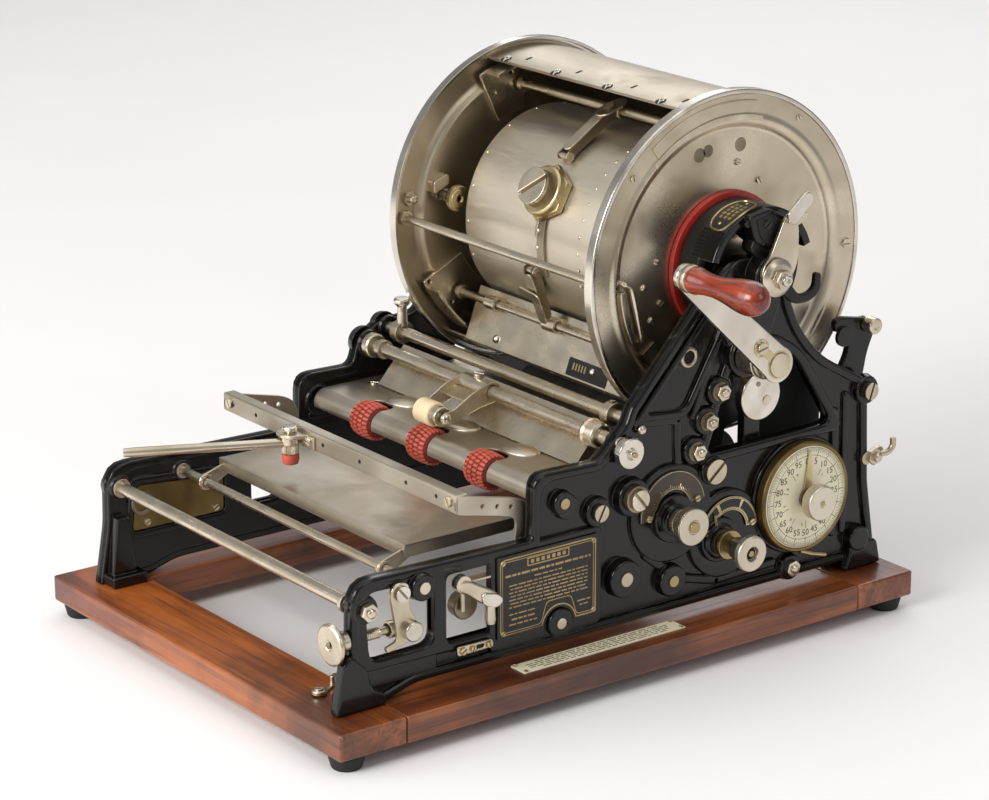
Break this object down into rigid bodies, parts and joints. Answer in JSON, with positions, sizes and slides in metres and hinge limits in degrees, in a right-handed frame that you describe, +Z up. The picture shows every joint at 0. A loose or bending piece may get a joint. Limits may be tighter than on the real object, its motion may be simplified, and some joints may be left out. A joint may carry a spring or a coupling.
{
  "type": "stencil duplicator",
  "caption": "Hand-cranked rotary stencil duplicator: nickel drum and ink cylinder between black cast frames, feed table with red rollers, counting dial and crank, on a wooden base",
  "frame": {"origin": "centre of the footprint, on the surface that the rubber feet stand on", "axes": "+X towards the crank, +Y from the paper tray to the back, +Z up"},
  "size_m": [0.4488, 0.494, 0.3842],
  "materials": {
    "wood": "reddish brown varnish, worn at the edges",
    "black_rubber": "matt",
    "black_enamel": "glossy black enamel with fine crazing",
    "polished_nickel": "polished nickel plate, slightly tarnished",
    "satin_nickel": "warm satin nickel plate with brown tarnish",
    "steel_sheet": "dull grey sheet steel with stains",
    "brass": "aged brass",
    "red_ring": "red enamel",
    "red_rubber": "ribbed red rubber",
    "grey_rubber": "smooth dark grey rubber",
    "ivory": "ivory, slightly yellowed",
    "cream_face": "cream dial paint in a dark brass rim",
    "varnished_wood": "red-brown turned wood under gloss varnish"
  },
  "bodies": {
    "machine_frame": {"base_rail_front": "wood", "base_rail_rear": "wood", "base_rail_left": "wood", "base_rail_right": "wood", "rubber_foot_front_left": "black_rubber", "rubber_foot_front_right": "black_rubber", "rubber_foot_rear_left": "black_rubber", "rubber_foot_rear_right": "black_rubber", "side_frame_right": "black_enamel", "side_frame_left": "black_enamel", "front_tie_rod": "satin_nickel", "tray_rod": "satin_nickel", "impression_pivot_rod": "satin_nickel", "front_cross_shaft": "satin_nickel", "rear_cross_shaft": "satin_nickel", "feed_table": "steel_sheet", "stripper_plate": "satin_nickel", "nameplate": "black_enamel", "counter_dial": "cream_face", "hub_housing": "black_enamel"},
    "drum": {"drum_flange_right": "polished_nickel", "drum_flange_left": "polished_nickel", "drum_sheet": "satin_nickel", "drum_axle": "satin_nickel", "drum_gear": "satin_nickel", "index_ring": "red_ring", "head_rod": "satin_nickel", "drum_tie_rod": "satin_nickel", "tail_rod": "satin_nickel", "ink_cylinder": "satin_nickel", "head_bracket": "satin_nickel", "tail_bracket": "satin_nickel"},
    "filler_plug": {"filler_plug": "brass"},
    "tail_clamp": {"tail_clamp": "satin_nickel"},
    "thumb_nut": {"drum_thumb_nut": "brass"},
    "crank": {"crank_shaft": "satin_nickel", "crank_arm": "polished_nickel"},
    "grip": {"crank_grip": "varnished_wood"},
    "release_lever": {"release_lever": "satin_nickel"},
    "feed_roll": {"feed_shaft": "satin_nickel", "feed_tyre_left": "red_rubber", "feed_tyre_middle": "red_rubber", "feed_tyre_right": "red_rubber"},
    "guide_arm": {"guide_bracket": "satin_nickel"},
    "guide_roller": {"guide_roller": "ivory"},
    "yoke": {"impression_yoke": "black_enamel"},
    "impression_roller": {"impression_roller": "grey_rubber"},
    "pressure_cam": {"pressure_cam": "satin_nickel"},
    "paper_tray": {"paper_tray": "steel_sheet"},
    "paper_bail": {"paper_bail": "satin_nickel"},
    "hold_lever": {"hold_lever": "satin_nickel", "hold_tip": "red_rubber"},
    "front_knob": {"front_knob": "satin_nickel"},
    "bell_crank": {"bell_crank": "satin_nickel"},
    "thumb_lever": {"thumb_lever": "satin_nickel"},
    "slide_latch": {"slide_latch": "brass"},
    "spacing_knob": {"spacing_knob": "satin_nickel"},
    "margin_knob": {"margin_knob": "satin_nickel"},
    "counter_hand": {"counter_hand": "satin_nickel"},
    "rear_lever": {"rear_lever": "black_enamel"}
  },
  "joints": [
    {"name": "drum_spin", "type": "hinge", "parent": "machine_frame", "child": "drum", "pos_m": [-0.04055, 0.1214, 0.2639], "axis": [1, 0, 0], "continuous": true},
    {"name": "crank_spin", "type": "hinge", "parent": "machine_frame", "child": "crank", "pos_m": [0.10665, 0.1087, 0.2093], "axis": [1, 0, 0], "continuous": true},
    {"name": "grip_spin", "type": "hinge", "parent": "crank", "child": "grip", "pos_m": [0.17665, 0.02695, 0.28395], "axis": [1, 0, 0], "continuous": true},
    {"name": "filler_plug_turn", "type": "hinge", "parent": "drum", "child": "filler_plug", "pos_m": [-0.03635, 0.1214, 0.2639], "axis": [0, -0.8829, 0.4695], "range_deg": [0, 180]},
    {"name": "tail_clamp_swing", "type": "hinge", "parent": "drum", "child": "tail_clamp", "pos_m": [-0.04055, 0.0554, 0.2049], "axis": [1, 0, 0], "range_deg": [-45, 0]},
    {"name": "thumb_nut_turn", "type": "hinge", "parent": "drum", "child": "thumb_nut", "pos_m": [-0.14135, 0.0464, 0.2779], "axis": [1, 0, 0], "range_deg": [-180, 180]},
    {"name": "release_lever_swing", "type": "hinge", "parent": "machine_frame", "child": "release_lever", "pos_m": [0.12265, 0.1214, 0.2639], "axis": [1, 0, 0], "range_deg": [-40, 0]},
    {"name": "feed_roll_spin", "type": "hinge", "parent": "machine_frame", "child": "feed_roll", "pos_m": [-0.04335, -0.041, 0.131], "axis": [1, 0, 0], "continuous": true},
    {"name": "guide_arm_swing", "type": "hinge", "parent": "machine_frame", "child": "guide_arm", "pos_m": [-0.05035, 0.0016, 0.1653], "axis": [1, 0, 0], "range_deg": [-50, 0]},
    {"name": "guide_roller_spin", "type": "hinge", "parent": "guide_arm", "child": "guide_roller", "pos_m": [-0.05135, -0.038, 0.1536], "axis": [1, 0, 0], "continuous": true},
    {"name": "yoke_lift", "type": "hinge", "parent": "machine_frame", "child": "yoke", "pos_m": [-0.04035, 0.058, 0.106], "axis": [1, 0, 0], "range_deg": [0, 8]},
    {"name": "impression_roller_spin", "type": "hinge", "parent": "yoke", "child": "impression_roller", "pos_m": [-0.04035, 0.1214, 0.1156], "axis": [1, 0, 0], "continuous": true},
    {"name": "pressure_cam_turn", "type": "hinge", "parent": "machine_frame", "child": "pressure_cam", "pos_m": [0.10265, 0.126, 0.175], "axis": [1, 0, 0], "range_deg": [0, 90]},
    {"name": "tray_slide", "type": "slide", "parent": "machine_frame", "child": "paper_tray", "axis": [1, 0, 0], "range_m": [-0.012, 0.012]},
    {"name": "bail_swing", "type": "hinge", "parent": "machine_frame", "child": "paper_bail", "pos_m": [-0.04335, -0.072, 0.106], "axis": [1, 0, 0], "range_deg": [-45, 0]},
    {"name": "hold_lever_swing", "type": "hinge", "parent": "paper_bail", "child": "hold_lever", "pos_m": [-0.08735, -0.133, 0.142], "axis": [0, 0, 1], "range_deg": [-30, 45]},
    {"name": "front_knob_turn", "type": "hinge", "parent": "machine_frame", "child": "front_knob", "pos_m": [0.10365, -0.21, 0.076], "axis": [0, 1, 0], "range_deg": [-360, 360]},
    {"name": "bell_crank_rock", "type": "hinge", "parent": "machine_frame", "child": "bell_crank", "pos_m": [0.11065, -0.1795, 0.1005], "axis": [1, 0, 0], "range_deg": [-8, 8]},
    {"name": "thumb_lever_swing", "type": "hinge", "parent": "machine_frame", "child": "thumb_lever", "pos_m": [0.11265, -0.133, 0.098], "axis": [1, 0, 0], "range_deg": [-20, 20]},
    {"name": "latch_slide", "type": "slide", "parent": "machine_frame", "child": "slide_latch", "axis": [0, 1, 0], "range_m": [-0.008, 0.004]},
    {"name": "spacing_knob_turn", "type": "hinge", "parent": "machine_frame", "child": "spacing_knob", "pos_m": [0.12165, 0.0465, 0.1035], "axis": [1, 0, 0], "range_deg": [-60, 60]},
    {"name": "margin_knob_turn", "type": "hinge", "parent": "machine_frame", "child": "margin_knob", "pos_m": [0.12165, 0.0875, 0.079], "axis": [1, 0, 0], "range_deg": [-60, 60]},
    {"name": "counter_hand_turn", "type": "hinge", "parent": "machine_frame", "child": "counter_hand", "pos_m": [0.12165, 0.1625, 0.096], "axis": [1, 0, 0], "continuous": true},
    {"name": "rear_lever_swing", "type": "hinge", "parent": "machine_frame", "child": "rear_lever", "pos_m": [0.09265, 0.218, 0.16], "axis": [1, 0, 0], "range_deg": [0, 20]}
  ],
  "couplings": [
    {"joint": "crank_spin", "follows": "drum_spin", "ratio": -1},
    {"joint": "pressure_cam_turn", "follows": "yoke_lift", "ratio": 11.25},
    {"joint": "bell_crank_rock", "follows": "front_knob_turn", "ratio": 0.02}
  ]
}
